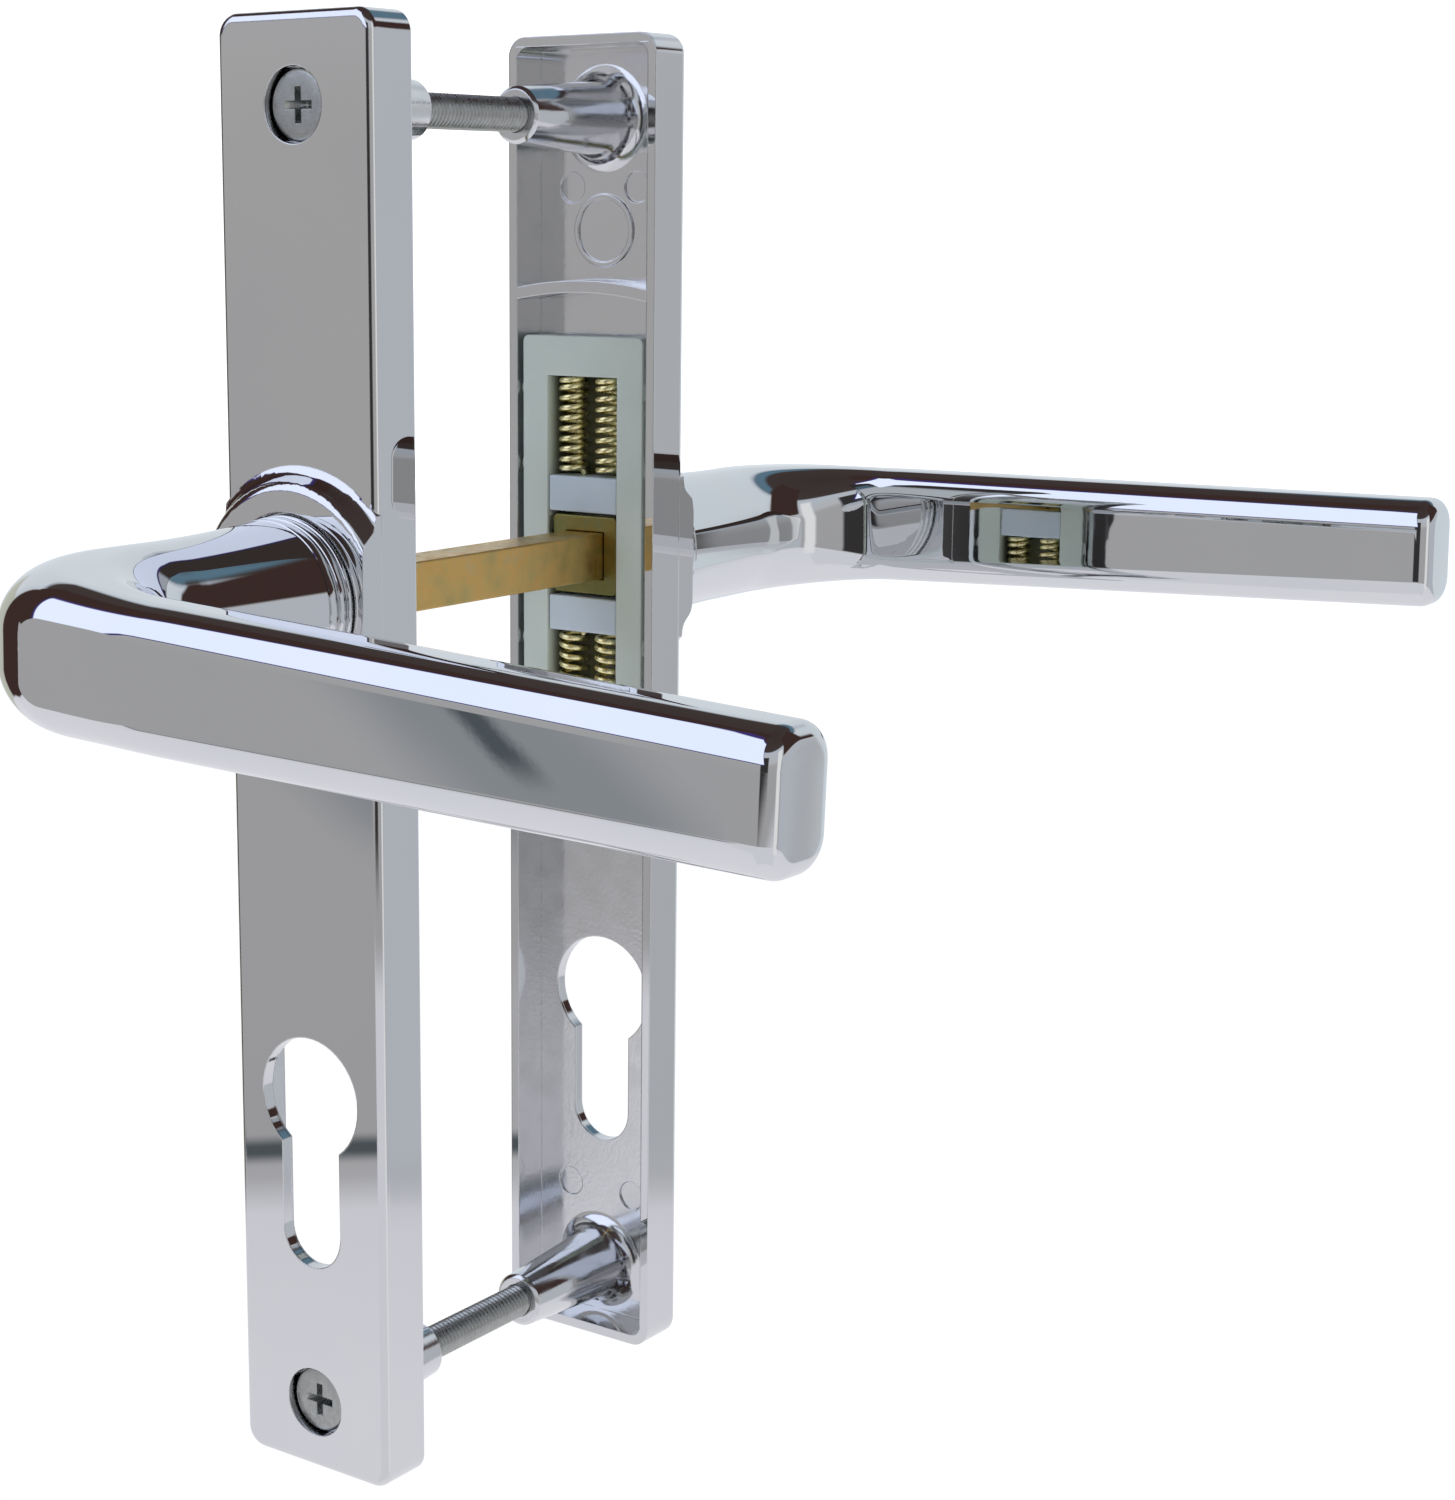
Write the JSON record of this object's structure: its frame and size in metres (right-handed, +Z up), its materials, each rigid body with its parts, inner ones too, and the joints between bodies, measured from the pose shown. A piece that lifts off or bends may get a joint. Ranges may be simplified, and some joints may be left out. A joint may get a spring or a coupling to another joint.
{
  "type": "door lever handle",
  "caption": "Sprung door levers on long backplates with a euro cylinder cutout, joined by a square spindle and two through screws, for both faces of a door.",
  "frame": {"origin": "on the spindle's axis, midway between the two backplates", "axes": "+Z up along the plates, +X the way both levers point, +Y from the front set to the rear set"},
  "size_m": [0.1252, 0.1838, 0.202],
  "materials": {
    "chrome": "polished chrome plate over a zinc casting",
    "passivated_steel": "yellow passivated zinc plate",
    "spring_steel": "drawn wire, yellow-green passivated",
    "screw_steel": "bright zinc plate, fine thread",
    "plain_steel": "plain spring steel",
    "nylon": "natural nylon, slightly translucent",
    "bush_plastic": "white acetal"
  },
  "bodies": {
    "plates": {"front_backplate": "chrome", "rear_backplate": "chrome", "fixing_screws": "screw_steel", "front_cassette_frame": "nylon", "front_lever_bush": "bush_plastic", "front_thrust_washer": "plain_steel", "front_upper_left_spring": "spring_steel", "front_upper_right_spring": "spring_steel", "front_lower_left_spring": "spring_steel", "front_lower_right_spring": "spring_steel", "rear_cassette_frame": "nylon", "rear_lever_bush": "bush_plastic", "rear_thrust_washer": "plain_steel", "rear_upper_left_spring": "spring_steel", "rear_upper_right_spring": "spring_steel", "rear_lower_left_spring": "spring_steel", "rear_lower_right_spring": "spring_steel"},
    "front_handle": {"front_lever": "chrome", "spindle": "passivated_steel", "front_follower": "passivated_steel", "front_retaining_clip": "plain_steel"},
    "rear_handle": {"rear_lever": "chrome", "rear_follower": "passivated_steel", "rear_retaining_clip": "plain_steel"},
    "front_upper_slider_body": {"front_upper_slider": "nylon"},
    "front_lower_slider_body": {"front_lower_slider": "nylon"},
    "rear_upper_slider_body": {"rear_upper_slider": "nylon"},
    "rear_lower_slider_body": {"rear_lower_slider": "nylon"}
  },
  "joints": [
    {"name": "front_lever_turn", "type": "hinge", "parent": "plates", "child": "front_handle", "pos_m": [0, 0, 0], "axis": [0, 1, 0], "range_deg": [0, 40], "stiffness_Nm_per_rad": 1, "springref_deg": -28.65},
    {"name": "rear_lever_turn", "type": "hinge", "parent": "plates", "child": "rear_handle", "pos_m": [0, 0, 0], "axis": [0, 1, 0], "range_deg": [0, 40]},
    {"name": "front_upper_slide", "type": "slide", "parent": "plates", "child": "front_upper_slider_body", "axis": [0, 0, 1], "range_m": [0, 0.0022], "deforming": ["front_upper_left_spring", "front_upper_right_spring"]},
    {"name": "front_lower_slide", "type": "slide", "parent": "plates", "child": "front_lower_slider_body", "axis": [0, 0, -1], "range_m": [0, 0.0022], "deforming": ["front_lower_left_spring", "front_lower_right_spring"]},
    {"name": "rear_upper_slide", "type": "slide", "parent": "plates", "child": "rear_upper_slider_body", "axis": [0, 0, 1], "range_m": [0, 0.0022], "deforming": ["rear_upper_left_spring", "rear_upper_right_spring"]},
    {"name": "rear_lower_slide", "type": "slide", "parent": "plates", "child": "rear_lower_slider_body", "axis": [0, 0, -1], "range_m": [0, 0.0022], "deforming": ["rear_lower_left_spring", "rear_lower_right_spring"]}
  ],
  "couplings": [
    {"joint": "rear_lever_turn", "follows": "front_lever_turn", "ratio": 1},
    {"joint": "front_upper_slide", "follows": "front_lever_turn", "m_per_rad": 0.0031},
    {"joint": "front_lower_slide", "follows": "front_lever_turn", "m_per_rad": 0.0031},
    {"joint": "rear_upper_slide", "follows": "front_lever_turn", "m_per_rad": 0.0031},
    {"joint": "rear_lower_slide", "follows": "front_lever_turn", "m_per_rad": 0.0031}
  ]
}
